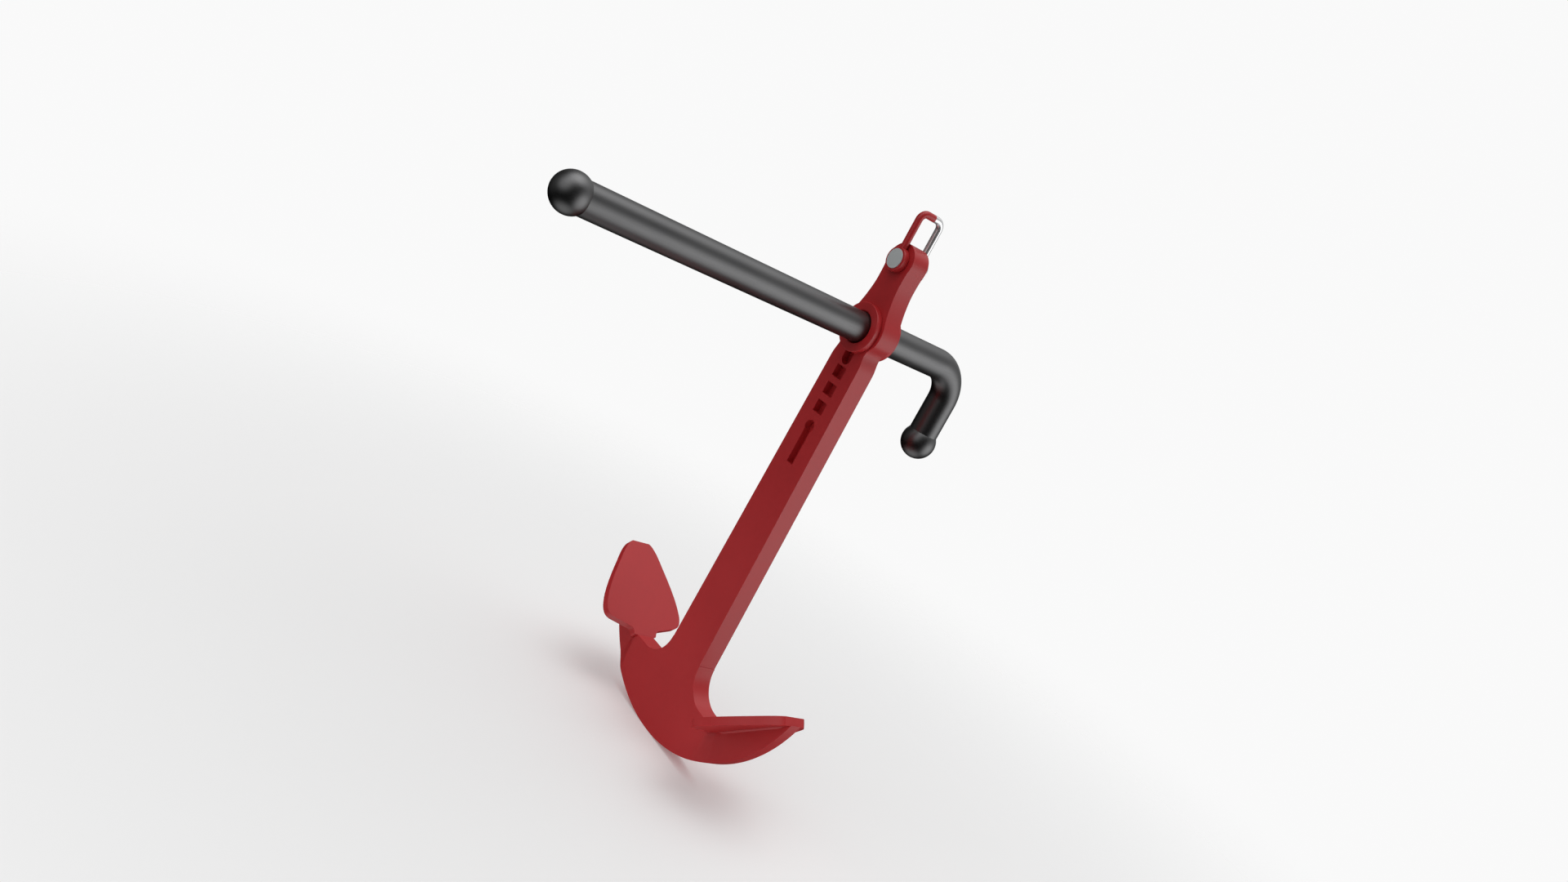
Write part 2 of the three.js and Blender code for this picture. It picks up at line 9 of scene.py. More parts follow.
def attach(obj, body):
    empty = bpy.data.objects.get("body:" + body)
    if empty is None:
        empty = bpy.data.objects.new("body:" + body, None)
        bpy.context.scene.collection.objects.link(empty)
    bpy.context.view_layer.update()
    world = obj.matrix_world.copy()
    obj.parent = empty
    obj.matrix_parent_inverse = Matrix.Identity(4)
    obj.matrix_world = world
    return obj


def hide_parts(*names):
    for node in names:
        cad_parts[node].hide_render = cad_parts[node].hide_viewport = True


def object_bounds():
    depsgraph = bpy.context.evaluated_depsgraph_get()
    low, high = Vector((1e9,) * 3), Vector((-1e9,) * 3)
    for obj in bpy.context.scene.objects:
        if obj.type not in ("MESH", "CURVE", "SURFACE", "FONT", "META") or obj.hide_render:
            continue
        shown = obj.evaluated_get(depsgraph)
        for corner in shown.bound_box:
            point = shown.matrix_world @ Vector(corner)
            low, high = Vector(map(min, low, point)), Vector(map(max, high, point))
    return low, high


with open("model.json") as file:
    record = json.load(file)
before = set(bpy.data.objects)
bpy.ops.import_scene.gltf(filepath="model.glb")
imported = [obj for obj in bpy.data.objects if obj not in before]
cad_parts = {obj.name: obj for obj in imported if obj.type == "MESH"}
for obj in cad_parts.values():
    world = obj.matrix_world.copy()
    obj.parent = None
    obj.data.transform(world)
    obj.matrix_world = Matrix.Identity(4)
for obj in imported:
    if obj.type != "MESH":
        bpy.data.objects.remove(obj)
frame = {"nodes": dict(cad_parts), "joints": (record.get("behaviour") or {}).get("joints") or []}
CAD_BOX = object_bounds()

bl_info = {
    "name": "Stocked anchor",
    "version": (1, 0, 0),
    "blender": (4, 5, 0),
    "location": "3D View > Sidebar > Anchor",
    "description": "Builds the visible pieces of a stocked anchor around its solid frame",
    "category": "Object",
}

MM = 0.001
HALF_PI = math.pi / 2

JOINTS = {joint["name"]: joint for joint in frame["joints"]}
EYE = Vector(JOINTS["stock_turn"]["pos_m"])       # centre of the stock eye
PIN = Vector(JOINTS["shackle_swing"]["pos_m"])    # centre of the shackle pin

# ---------- sizes in millimetres ----------
# measured from the stock eye unless a comment says otherwise
HALF_PLATE = 10                  # shank and crown are cut from 20 mm plate
HEAD_RADIUS = 18
PIN_ABOVE_EYE = (PIN.z - EYE.z) / MM
NECK_HALF = 16.4
BOSS_RADIUS = 28
WAIST_HALF = 19.9
SHANK_TOP_HALF = 22.3
SHANK_FOOT_HALF = 27.4
SHANK_FOOT = -361.5

CROWN_RADIUS = 174
CROWN_CENTRE = -278.4
THROAT_RADIUS = 31
THROAT_CENTRE = 58.9
HALF_ARM = 6                     # the arms are 12 mm thick
# the slope between crown and arm: rise above the palm's face, start and end along the palm
SLOPE_TOP = (0, -199.1, -193.7)
SLOPE_LOW = (-60, -265.8, -218.2)

PALM_ANGLE = 0.6928
PALM_THICKNESS = 8
PALM_ORIGIN = Vector((235.3, 0, -262.35))
PALM_NECK = -204.6
PALM_TIP = -98.4
PALM_TIP_HALF = 11
PALM_NECK_HALF = 14.3
PALM_EAR_HALF = 47.8

POCKET_DEPTH = 7.5
POCKET_SQUARES = (-46.2, -65.2, -84.5)
POCKET_HALF_WIDTH = 7.3
POCKET_HALF_HEIGHT = 6.2
POCKET_CORNER = 0.5
POCKET_ROUND = 6.6
KEYHOLE_CENTRE = -105.5
KEYHOLE_END = -145.8
SLOT_HALF = 4.8
UPPER_CENTRE = -31.1
UPPER_END = -19.5                # under the collar
EYE_BORE = 17.5
LOCK_BORE = 5.3
HEAD_BORE = 7.5

COLLAR_RADIUS = 24.6
COLLAR_BORE = 15.3
COLLAR_HEIGHT = 6.2
COLLAR_CHAMFER = 1.3

ROD_RADIUS = 15
BEND_RADIUS = 33
LONG_END = 340.8
BENT_END = 130.5
LEG_DROP = 79.9
BALL_RADIUS = 18.15
BALL_FLAT = math.sqrt(BALL_RADIUS ** 2 - ROD_RADIUS ** 2)
STUD_BORE = 6.3
STUD_IN_BALL = 13
GRUB_RADIUS = 2.5
GRUB_OUTER = 14.3                # outer end of a grub screw, from the ball's axis
GRUB_INNER = 6.3

# the shackle is measured from its pin
BAR_RADIUS = 3.5
BOW_HALF = 13.9
BOW_CORNER = 7.5
BOW_RISE = 48.6
BOW_SPLIT = 2
LUG_RADIUS = 12
LUG_INNER = 10.3
LUG_OUTER = 17
PIN_RADIUS = 5.1
PIN_HEAD_RADIUS = 9.7
PIN_HEAD_FACE = 17.8

LOCK_RADIUS = 5
LOCK_PITCH = 1.5
LOCK_HEAD_START = -30.5
LOCK_HEAD = 6.5
LOCK_SHAFT_END = -20.7

WELD_LEG = 2
WELD_RIPPLE_PITCH = 2.2
WELD_BACK = 0.4                  # how far a bead reaches back into palm and arm
WELD_FILL = 0.86                 # share of the leg that the bead's hollows keep
WELD_END_LEG = 0.15


# ---------- settings a user may change ----------
class AnchorShape(bpy.types.PropertyGroup):
    """Edges and small shapes"""

    edge: bpy.props.FloatProperty(
        name="Plate edge", description="Rounding along the plates' edges, in millimetres",
        default=0.6, min=0.1, max=2)
    pocket_edge: bpy.props.FloatProperty(
        name="Pocket edge", description="Rounding along the pockets' rims, in millimetres",
        default=0.35, min=0.1, max=1)
    ripple: bpy.props.FloatProperty(
        name="Weld ripple", description="Height of the ripples on a weld bead, in millimetres",
        default=0.25, min=0, max=1)


class AnchorFinish(bpy.types.PropertyGroup):
    """Colours and gloss"""

    paint: bpy.props.FloatVectorProperty(
        name="Paint", description="Enamel on the shank, arms, palms and shackle",
        subtype="COLOR", size=3, min=0, max=1, default=(0.53, 0.024, 0.028))
    paint_gloss: bpy.props.FloatProperty(
        name="Paint roughness", description="Roughness of the enamel", subtype="FACTOR",
        default=0.36, min=0.05, max=1)
    stock: bpy.props.FloatVectorProperty(
        name="Stock", description="Blackened steel of the stock and its balls",
        subtype="COLOR", size=3, min=0, max=1, default=(0.16, 0.16, 0.162))
    bright: bpy.props.FloatVectorProperty(
        name="Bright steel", description="Polished side of the shackle",
        subtype="COLOR", size=3, min=0, max=1, default=(0.93, 0.93, 0.94))
    grey: bpy.props.FloatVectorProperty(
        name="Grey steel", description="Shackle pin, screws and studs",
        subtype="COLOR", size=3, min=0, max=1, default=(0.66, 0.69, 0.695))
    bronze: bpy.props.FloatVectorProperty(
        name="Bronze", description="Bushes and lock pad",
        subtype="COLOR", size=3, min=0, max=1, default=(0.47, 0.29, 0.1))


class AnchorStage(bpy.types.PropertyGroup):
    """Camera, floor and light"""

    azimuth: bpy.props.FloatProperty(
        name="Azimuth", description="Camera's place round the anchor", subtype="ANGLE",
        default=math.radians(48.84))
    elevation: bpy.props.FloatProperty(
        name="Elevation", description="Camera's height over the horizon", subtype="ANGLE",
        default=math.radians(10.2))
    roll: bpy.props.FloatProperty(
        name="Roll", description="Camera's turn about its own line of sight", subtype="ANGLE",
        default=math.radians(28.62))
    distance: bpy.props.FloatProperty(
        name="Distance", description="Camera to the point that it looks at", subtype="DISTANCE",
        default=1.19, min=0.3, max=5)
    aim: bpy.props.FloatVectorProperty(
        name="Aim", description="Point that the camera looks at", subtype="XYZ", size=3,
        default=(0.0063, -0.0346, -0.2425))
    lens: bpy.props.FloatProperty(
        name="Lens", description="Focal length in millimetres", default=29.126, min=10, max=200)
    floor: bpy.props.FloatVectorProperty(
        name="Floor", description="Colour of the floor", subtype="COLOR", size=3, min=0, max=1,
        default=(0.9, 0.9, 0.9))
    brightness: bpy.props.FloatProperty(
        name="Brightness", description="Strength of all the soft panels together", default=1,
        min=0, max=5)
    panel_width: bpy.props.FloatProperty(
        name="Panel width", description="Angle from a soft panel's centre to its faded edge",
        subtype="ANGLE", default=math.radians(42))
    floor_glow: bpy.props.FloatProperty(
        name="Floor glow", description="Light that the lit table under the floor gives",
        default=0.14, min=0, max=2)
    floor_near: bpy.props.FloatProperty(
        name="Floor starts to fade", description="Distance at which the floor starts to fade",
        subtype="DISTANCE", default=0.35, min=0.1, max=3)
    floor_far: bpy.props.FloatProperty(
        name="Floor fades out", description="Distance at which the floor has faded out",
        subtype="DISTANCE", default=1.3, min=0.5, max=6)
    backdrop: bpy.props.FloatProperty(
        name="Backdrop", description="Brightness of the backdrop as seen", default=0.95,
        min=0, max=5)


# ---------- outlines ----------
def arc(centre, radius, start, end, steps):
    """Points along a circle's arc, both ends included."""
    angles = (start + (end - start) * i / steps for i in range(steps + 1))
    return [(centre[0] + radius * math.cos(a), centre[1] + radius * math.sin(a)) for a in angles]


def curve(start, pull_out, pull_in, end, steps):
    """Points along a cubic curve, without its start."""
    points = []
    for i in range(1, steps + 1):
        t = i / steps
        weights = ((1 - t) ** 3, 3 * t * (1 - t) ** 2, 3 * t * t * (1 - t), t ** 3)
        points.append(tuple(
            sum(w * p[axis] for w, p in zip(weights, (start, pull_out, pull_in, end)))
            for axis in (0, 1)))
    return points


def mirror(half):
    """Closes a half outline with its mirror image in x."""
    return half + [(-x, z) for x, z in reversed(half) if x > 0.01]


def soften(points, radius, closed=False, steps=5):
    """Rounds the corners of a line of points, as far as their neighbours leave room."""
    soft = []
    last = len(points) - 1
    for i, point in enumerate(points):
        if not closed and i in (0, last):
            soft.append(point)
            continue
        here = Vector(point)
        before = Vector(points[i - 1]) - here
        after = Vector(points[(i + 1) % len(points)]) - here
        turn = before.angle(after)
        if turn > math.radians(170):
            soft.append(point)
            continue
        reach = min(radius / math.tan(turn / 2), 0.45 * before.length, 0.45 * after.length)
        a = here + before.normalized() * reach
        b = here + after.normalized() * reach
        for k in range(steps + 1):
            t = k / steps
            soft.append(tuple(a * (1 - t) ** 2 + here * 2 * t * (1 - t) + b * t * t))
    return soft


# ---------- meshes ----------
def new_piece(name, bm):
    """Makes an object of a bmesh in millimetres about the stock eye."""
    bmesh.ops.remove_doubles(bm, verts=bm.verts, dist=1e-6)
    bmesh.ops.recalc_face_normals(bm, faces=bm.faces)
    bm.transform(Matrix.Translation(EYE) @ Matrix.Scale(MM, 4))
    mesh = bpy.data.meshes.new(name)
    bm.to_mesh(mesh)
    bm.free()
    piece = bpy.data.objects.new(name, mesh)
    bpy.context.scene.collection.objects.link(piece)
    return piece


def extruded(name, corners, sweep):
    """Closed solid between a flat ring of corners and its copy moved by sweep."""
    bm = bmesh.new()
    face = bm.faces.new([bm.verts.new(corner) for corner in corners])
    moved = bmesh.ops.extrude_face_region(bm, geom=[face])["geom"]
    verts = [item for item in moved if isinstance(item, bmesh.types.BMVert)]
    bmesh.ops.translate(bm, verts=verts, vec=sweep)
    return new_piece(name, bm)


def plate(name, outline, low, high):
    """Flat plate with an outline in X and Z, between two Y faces."""
    return extruded(name, [(x, low, z) for x, z in outline], (0, high - low, 0))


def turned(name, profile, place=Matrix(), sides=96, ring=False):
    """Piece turned about the Y axis, with a profile of (radius, y), then put in place."""
    bm = bmesh.new()
    rows = []
    for radius, y in profile:
        count = sides if radius > 1e-6 else 1
        rows.append([
            bm.verts.new((radius * math.cos(2 * math.pi * k / sides), y,
                          radius * math.sin(2 * math.pi * k / sides)))
            for k in range(count)])
    following = rows[1:] + (rows[:1] if ring else [])
    for row, after in zip(rows, following):
        for k in range(sides):
            corners = [row[k % len(row)], row[(k + 1) % len(row)],
                       after[(k + 1) % len(after)], after[k % len(after)]]
            corners = list(dict.fromkeys(corners))
            if len(corners) > 2:
                bm.faces.new(corners)
    bm.transform(place)
    return new_piece(name, bm)


def bent_path(start, corner, end, radius, steps=28):
    """Points in Y and Z that run straight, round a quarter bend and straight again."""
    start, corner, end = Vector(start), Vector(corner), Vector(end)
    inward = (corner - start).normalized()
    outward = (end - corner).normalized()
    centre = corner - inward * radius + outward * radius
    bend = [centre - outward * radius * math.cos(a) + inward * radius * math.sin(a)
            for a in (HALF_PI * i / steps for i in range(steps + 1))]
    return [start, *bend, end]


def lofted(name, rows):
    """Closed solid through rows of corners, each row a ring that is joined to the next."""
    bm = bmesh.new()
    rings = [[bm.verts.new(corner) for corner in row] for row in rows]
    for ring, after in zip(rings, rings[1:]):
        for k in range(len(ring)):
            following = (k + 1) % len(ring)
            bm.faces.new((ring[k], ring[following], after[following], after[k]))
    bm.faces.new(rings[0])
    bm.faces.new(rings[-1])
    return new_piece(name, bm)


def swept(name, path, radius, lift=0, sides=64):
    """Round bar along a path in Y and Z, with flat ends."""
    rows = []
    for i, point in enumerate(path):
        if i == 1:
            ahead = path[1] - path[0]
        elif i == len(path) - 2:
            ahead = path[-1] - path[-2]
        else:
            ahead = path[min(i + 1, len(path) - 1)] - path[max(i - 1, 0)]
        tangent = ahead.normalized()
        side = Vector((-tangent.y, tangent.x))
        row = []
        for k in range(sides):
            angle = 2 * math.pi * k / sides
            offset = side * radius * math.sin(angle)
            row.append((radius * math.cos(angle), point.x + offset.x,
                        point.y + offset.y + lift))
        rows.append(row)
    return lofted(name, rows)


def settle(piece):
    """Makes the result of a piece's modifiers its own mesh."""
    shown = piece.evaluated_get(bpy.context.evaluated_depsgraph_get())
    mesh = bpy.data.meshes.new_from_object(shown)
    old = piece.data
    piece.modifiers.clear()
    piece.data = mesh
    mesh.name = piece.name
    bpy.data.meshes.remove(old)


def combine(piece, tools, operation):
    """Cuts tools out of a piece, or adds them to it."""
    for tool in tools:
        step = piece.modifiers.new(tool.name, "BOOLEAN")
        step.operation = operation
        step.solver = "EXACT"
        step.object = tool
    settle(piece)
    for tool in tools:
        bpy.data.objects.remove(tool)


def crease(piece, angle=32):
    """Smooth faces with sharp edges only where they turn by more than the angle."""
    piece.data.shade_smooth()
    piece.data.set_sharp_from_angle(angle=math.radians(angle))


def round_edges(piece, radius, keep_sharp=None, angle=28, narrower=None):
    """Rounds the edges that turn by more than an angle, by a radius in millimetres.

    An edge stays sharp where keep_sharp is true at both its ends, and narrower gives
    an edge's share of the radius.
    """
    mesh = piece.data
    bm = bmesh.new()
    bm.from_mesh(mesh)
    bmesh.ops.dissolve_degenerate(bm, dist=1e-6, edges=bm.edges)
    layer = bm.edges.layers.float.new("bevel_weight_edge")
    limit = math.radians(angle)
    for edge in bm.edges:
        if len(edge.link_faces) != 2 or edge.calc_face_angle(0) < limit:
            continue
        ends = [(v.co - EYE) / MM for v in edge.verts]
        if keep_sharp and all(keep_sharp(p) for p in ends):
            continue
        edge[layer] = narrower(ends) if narrower else 1
    bm.to_mesh(mesh)
    bm.free()
    bevel = piece.modifiers.new("edges", "BEVEL")
    bevel.limit_method = "WEIGHT"
    bevel.width = radius * MM
    bevel.segments = 3
    bevel.use_clamp_overlap = True
    crease(piece, 40)
    weigh = piece.modifiers.new("normals", "WEIGHTED_NORMAL")
    weigh.keep_sharp = True
    settle(piece)


def place_piece(piece, body, slot, material, *nodes):
    """Gives a finished piece its material and its body, and hides the frame nodes that it stands
    for.
    """
    piece.data.materials.clear()
    piece.data.materials.append(material)
    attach(piece, body)
    if nodes:
        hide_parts(*nodes)
    return piece


# ---------- finishes ----------
class Number:
    """A number or colour in a material's nodes; arithmetic on it adds Math nodes."""

    def __init__(self, finish, socket):
        self.finish = finish
        self.socket = socket

    def _math(self, operation, first, second):
        return self.finish.node("ShaderNodeMath", {"operation": operation}, {0: first, 1: second})

    def __add__(self, other):
        return self._math("ADD", self, other)

    __radd__ = __add__

    def __sub__(self, other):
        return self._math("SUBTRACT", self, other)

    def __rsub__(self, other):
        return self._math("SUBTRACT", other, self)

    def __mul__(self, other):
        return self._math("MULTIPLY", self, other)

    __rmul__ = __mul__


class Finish:
    """A material, or the world, under construction."""

    def __init__(self, name, kind="materials", shader="Principled BSDF"):
        self.material = getattr(bpy.data, kind).new(name)
        self.material.use_nodes = True
        self.tree = self.material.node_tree
        self.shader = self.tree.nodes[shader]

    def node(self, kind, settings, inputs, output=0):
        """Adds a node: its settings first, then the values or links of its sockets."""
        made = self.tree.nodes.new(kind)
        for name, value in settings.items():
            if name == "stops":
                ramp = made.color_ramp
                while len(ramp.elements) < len(value):
                    ramp.elements.new(1)
                for element, (position, shade) in zip(ramp.elements, value):
                    element.position = position
                    element.color = (shade, shade, shade, 1)
            else:
                setattr(made, name, value)
        self.feed(made, inputs)
        return Number(self, made.outputs[output])

    def feed(self, node, inputs):
        for name, value in inputs.items():
            if isinstance(value, Number):
                self.tree.links.new(value.socket, node.inputs[name])
            else:
                node.inputs[name].default_value = value

    def place(self):
        """The piece's own coordinates, in metres."""
        return self.node("ShaderNodeTexCoord", {}, {}, "Object")

    def place_generated(self):
        """The direction looked in, for a world."""
        return self.node("ShaderNodeTexCoord", {}, {}, "Generated")

    def noise(self, vector, scale, detail=2, roughness=0.5):
        return self.node("ShaderNodeTexNoise", {}, {
            "Vector": vector, "Scale": scale, "Detail": detail, "Roughness": roughness})

    def ramp(self, value, *stops):
        return self.node("ShaderNodeValToRGB", {"stops": stops}, {"Fac": value})

    def stretch(self, vector, scale):
        """Coordinates scaled unevenly, for grain that runs one way."""
        return self.node("ShaderNodeVectorMath", {"operation": "MULTIPLY"}, {0: vector, 1: scale})

    def blend(self, factor, first, second):
        """Colour between two colours."""
        return self.node("ShaderNodeMix", {"data_type": "RGBA"},
                         {0: factor, 6: first, 7: second}, 2)

    def bump(self, height, distance, strength=1.0):
        return self.node("ShaderNodeBump", {}, {
            "Height": height, "Distance": distance, "Strength": strength})


def shaded(colour, share):
    """The colour times a share, with its alpha."""
    return (colour[0] * share, colour[1] * share, colour[2] * share, 1)


def painted(name, colour, roughness):
    """Sprayed enamel: nearly even colour, faint orange peel, slightly duller patches."""
    finish = Finish(name)
    place = finish.place()
    broad = finish.noise(place, 9, 3)
    fine = finish.noise(place, 130, 4, 0.6)
    peel = finish.noise(place, 750, 2)
    dust = finish.ramp(finish.noise(place, 2600, 2), (0.68, 0), (0.8, 1))
    tone = broad * 0.7 + fine * 0.3
    colours = finish.blend(finish.ramp(tone, (0.3, 0), (0.7, 1)),
                           shaded(colour, 0.94), shaded(colour, 1.06))
    finish.feed(finish.shader, {
        "Base Color": finish.blend(dust * 0.12, colours, shaded(colour, 0.6)),
        "Roughness": (broad - 0.5) * 0.1 + (fine - 0.5) * 0.08 + roughness,
        "Metallic": 0.0,
        "IOR": 1.5,
        "Normal": finish.bump(peel * 0.8 + fine * 0.2, 0.00004, 0.6),
    })
    return finish.material


def satin_steel(name, colour, roughness, scratch=0.1):
    """Steel with a fine satin grain and slow changes of tone."""
    finish = Finish(name)
    place = finish.place()
    broad = finish.noise(place, 16, 3)
    grain = finish.noise(place, 1900, 3, 0.65)
    lines = finish.noise(finish.stretch(place, (900, 60, 900)), 1, 3, 0.6)
    finish.feed(finish.shader, {
        "Base Color": finish.blend(finish.ramp(broad * 0.6 + grain * 0.4, (0.3, 0), (0.7, 1)),
                                   shaded(colour, 0.9), shaded(colour, 1.1)),
        "Roughness": (broad - 0.5) * 0.08 + (lines - 0.5) * scratch + roughness,
        "Metallic": 1.0,
        "Normal": finish.bump(grain * 0.5 + lines * 0.5, 0.00002, 0.5),
    })
    return finish.material


def turned_steel(name, colour, roughness, centre):
    """Dull zinc on a faced end: fine rings about an axis along Y."""
    finish = Finish(name)
    place = finish.place()
    radial = finish.node("ShaderNodeVectorMath", {"operation": "LENGTH"}, {
        0: finish.stretch(finish.node("ShaderNodeVectorMath", {"operation": "SUBTRACT"},
                                      {0: place, 1: centre}), (1, 0, 1))}, "Value")
    rings = finish.node("ShaderNodeTexNoise", {"noise_dimensions": "1D"},
                        {"W": radial, "Scale": 5200, "Detail": 2})
    broad = finish.noise(place, 60, 3)
    finish.feed(finish.shader, {
        "Base Color": finish.blend(finish.ramp(rings * 0.6 + broad * 0.4, (0.3, 0), (0.7, 1)),
                                   shaded(colour, 0.93), shaded(colour, 1.07)),
        "Roughness": (rings - 0.5) * 0.12 + roughness,
        "Metallic": 0.1,
        "Normal": finish.bump(rings, 0.00001, 0.4),
    })
    return finish.material


def polished_steel(name, colour):
    """Mirror-bright steel with faint hairlines and smudges."""
    finish = Finish(name)
    place = finish.place()
    smudge = finish.noise(place, 120, 3)
    hairs = finish.noise(finish.stretch(place, (2200, 2200, 90)), 1, 2)
    finish.feed(finish.shader, {
        "Base Color": finish.blend(finish.ramp(smudge, (0.35, 0), (0.65, 1)),
                                   shaded(colour, 0.96), shaded(colour, 1)),
        "Roughness": finish.ramp(smudge, (0.4, 0.16), (0.7, 0.22)) + (hairs - 0.5) * 0.05,
        "Metallic": 0.7,
        "Normal": finish.bump(hairs, 0.000004, 0.3),
    })
    return finish.material


MATERIALS = {}


def material(name):
    """The named finish, made when it is first asked for."""
    if name in MATERIALS:
        return MATERIALS[name]
    colours = bpy.context.scene.anchor_finish
    makers = {
        "red_paint": lambda: painted(name, colours.paint, colours.paint_gloss),
        "dark_steel": lambda: satin_steel(name, colours.stock, 0.4),
        "grey_steel": lambda: satin_steel(name, colours.grey, 0.38),
        "pin_face": lambda: turned_steel(name, colours.grey, 0.42, tuple(PIN)),
        "polished_steel": lambda: polished_steel(name, colours.bright),
        "bronze": lambda: satin_steel(name, colours.bronze, 0.35),
    }
    MATERIALS[name] = makers[name]()
    return MATERIALS[name]


# ---------- shank ----------
AT_PIN = Matrix.Translation((0, 0, PIN_ABOVE_EYE))


def shank_outline():
    def polar(radius, angle, z):
        return (radius * math.cos(angle), z + radius * math.sin(angle))

    head_leave, boss_meet, boss_leave = -0.26, 0.454, -0.21
    head = polar(HEAD_RADIUS, head_leave, PIN_ABOVE_EYE)
    meet = polar(BOSS_RADIUS, boss_meet, 0)
    leave = polar(BOSS_RADIUS, boss_leave, 0)
    neck = (NECK_HALF, 50)
    waist = (WAIST_HALF, -20.5)
    top = (SHANK_TOP_HALF, -36)
    half = arc((0, PIN_ABOVE_EYE), HEAD_RADIUS, HALF_PI, head_leave, 40)
    half += curve(head, (head[0] - 0.8, head[1] - 3), (NECK_HALF, 57), neck, 12)
    half += curve(neck, (NECK_HALF, 40), (meet[0] - 4.8, meet[1] + 9.9), meet, 20)
    half += arc((0, 0), BOSS_RADIUS, boss_meet, boss_leave, 20)[1:]
    half += curve(leave, (leave[0] - 1, leave[1] - 4.9), (WAIST_HALF, -14.5), waist, 14)
    half += curve(waist, (WAIST_HALF, -25), (SHANK_TOP_HALF - 0.1, -29.5), top, 12)
    half.append((SHANK_FOOT_HALF, SHANK_FOOT))
    return mirror(half)


def pocket_tools():
    """Cutters for the squares, the keyhole and the round-ended pocket in the front face."""
    front, deep = -HALF_PLATE - 1, -HALF_PLATE + POCKET_DEPTH
    tools = []
    for z in POCKET_SQUARES:
        square = [(x * POCKET_HALF_WIDTH, z + up * POCKET_HALF_HEIGHT)
                  for x, up in ((-1, -1), (1, -1), (1, 1), (-1, 1))]
        tools.append(plate("square", soften(square, POCKET_CORNER, True, 3), front, deep))
    meet = math.asin(SLOT_HALF / POCKET_ROUND)
    circle = arc((0, KEYHOLE_CENTRE), POCKET_ROUND, -HALF_PI + meet, 1.5 * math.pi - meet, 48)
    slot = [circle[-1], (-SLOT_HALF, KEYHOLE_END), (SLOT_HALF, KEYHOLE_END), circle[0]]
    keyhole = circle + soften(slot, POCKET_CORNER, False, 3)[1:-1]
    tools.append(plate("keyhole", keyhole, front, deep))
    upper = arc((0, UPPER_CENTRE), POCKET_ROUND, -math.pi, 0, 28)
    upper += [(POCKET_ROUND, UPPER_END), (-POCKET_ROUND, UPPER_END)]
    tools.append(plate("upper", upper, front, deep))
    return tools


def along_x(x=0, y=0, z=0):
    """Turns a piece made about Y to lie about X, its +Y end towards +X, and moves it."""
    return Matrix.Translation((x, y, z)) @ Matrix.Rotation(-HALF_PI, 4, "Z")


def rod_tool(name, radius, start, end, place=Matrix(), sides=64):
    """Plain cutter about Y."""
    return turned(name, [(0, start), (radius, start), (radius, end), (0, end)], place, sides)


class ANCHOR_OT_shank(bpy.types.Operator):
    """Flat shank with its rounded head, boss, pockets and bores"""

    bl_idname = "anchor.shank"
    bl_label = "Shank"

    def execute(self, context):
        shape = context.scene.anchor_shape
        piece = plate("shank_plate", shank_outline(), -HALF_PLATE, HALF_PLATE)
        tools = pocket_tools()
        tools.append(rod_tool("eye", EYE_BORE, -20, 20))
        tools.append(rod_tool("head", HEAD_BORE, -20, 20, AT_PIN))
        tools.append(rod_tool("lock", LOCK_BORE, -EYE_BORE - 18, -EYE_BORE + 2, along_x(), 40))
        combine(piece, tools, "DIFFERENCE")

        def width(ends):
            inside = all(abs(p.x) < POCKET_HALF_WIDTH + 1 and p.y < 0
                         and KEYHOLE_END - 1 < p.z < UPPER_END + 0.5 for p in ends)
            return shape.pocket_edge / shape.edge if inside else 1

        round_edges(piece, shape.edge, lambda p: p.z < SHANK_FOOT + 0.1, narrower=width)
        place_piece(piece, "shank", "red_paint", material("red_paint"), "shank")
        return {"FINISHED"}


# ---------- crown ----------
ALONG_PALM = Vector((math.cos(PALM_ANGLE), 0, math.sin(PALM_ANGLE)))
OFF_PALM = Vector((-math.sin(PALM_ANGLE), 0, math.cos(PALM_ANGLE)))


def on_palm(along, y, rise):
    """Point from its place along the palm, across it and above its face."""
    return PALM_ORIGIN + ALONG_PALM * along + OFF_PALM * rise + Vector((0, y, 0))


def bill_along():
    """Place along the palm where the arm's inner edge runs out into the outer sweep."""
    start = on_palm(0, 0, -PALM_THICKNESS) - Vector((0, 0, CROWN_CENTRE))
    slope = start.dot(ALONG_PALM)
    return -slope + math.sqrt(slope ** 2 - start.length_squared + CROWN_RADIUS ** 2)


def crown_outline():
    bill = on_palm(bill_along(), 0, -PALM_THICKNESS)
    bill_angle = math.atan2(bill.z - CROWN_CENTRE, bill.x)
    half = [(0, SHANK_FOOT)]
    half += arc((THROAT_CENTRE, SHANK_FOOT), THROAT_RADIUS, math.pi, 1.5 * math.pi, 36)
    for rise in (0, -PALM_THICKNESS):
        point = on_palm(PALM_NECK, 0, rise)
        half.append((point.x, point.z))
    half += arc((0, CROWN_CENTRE), CROWN_RADIUS, bill_angle, -HALF_PI, 72)
    return mirror(half)


def arm_thinner(side, hand):
    """Cutter that thins one face of an arm, with a soft slope that fans out to the outer sweep."""
    levels, steps = 14, 16
    clear = 0.02
    flip = Vector((1 if hand == "right" else -1, 1, 1))
    rows = []
    for level in range(levels + 1):
        share = level / levels
        rise, start, end = (a + (b - a) * share for a, b in zip(SLOPE_TOP, SLOPE_LOW))
        profile = [(start, 2 * HALF_PLATE), (start, HALF_PLATE + clear)]
        for i in range(1, steps + 1):
            t = i / steps
            drop = (HALF_PLATE - HALF_ARM) * t * t * (3 - 2 * t)
            profile.append((start + (end - start) * t, HALF_PLATE + clear * (1 - t) - drop))
        profile += [(0, HALF_ARM), (0, 2 * HALF_PLATE)]
        rows.append([on_palm(along, side * y, rise) * flip for along, y in profile])
    return lofted("thinner", rows)


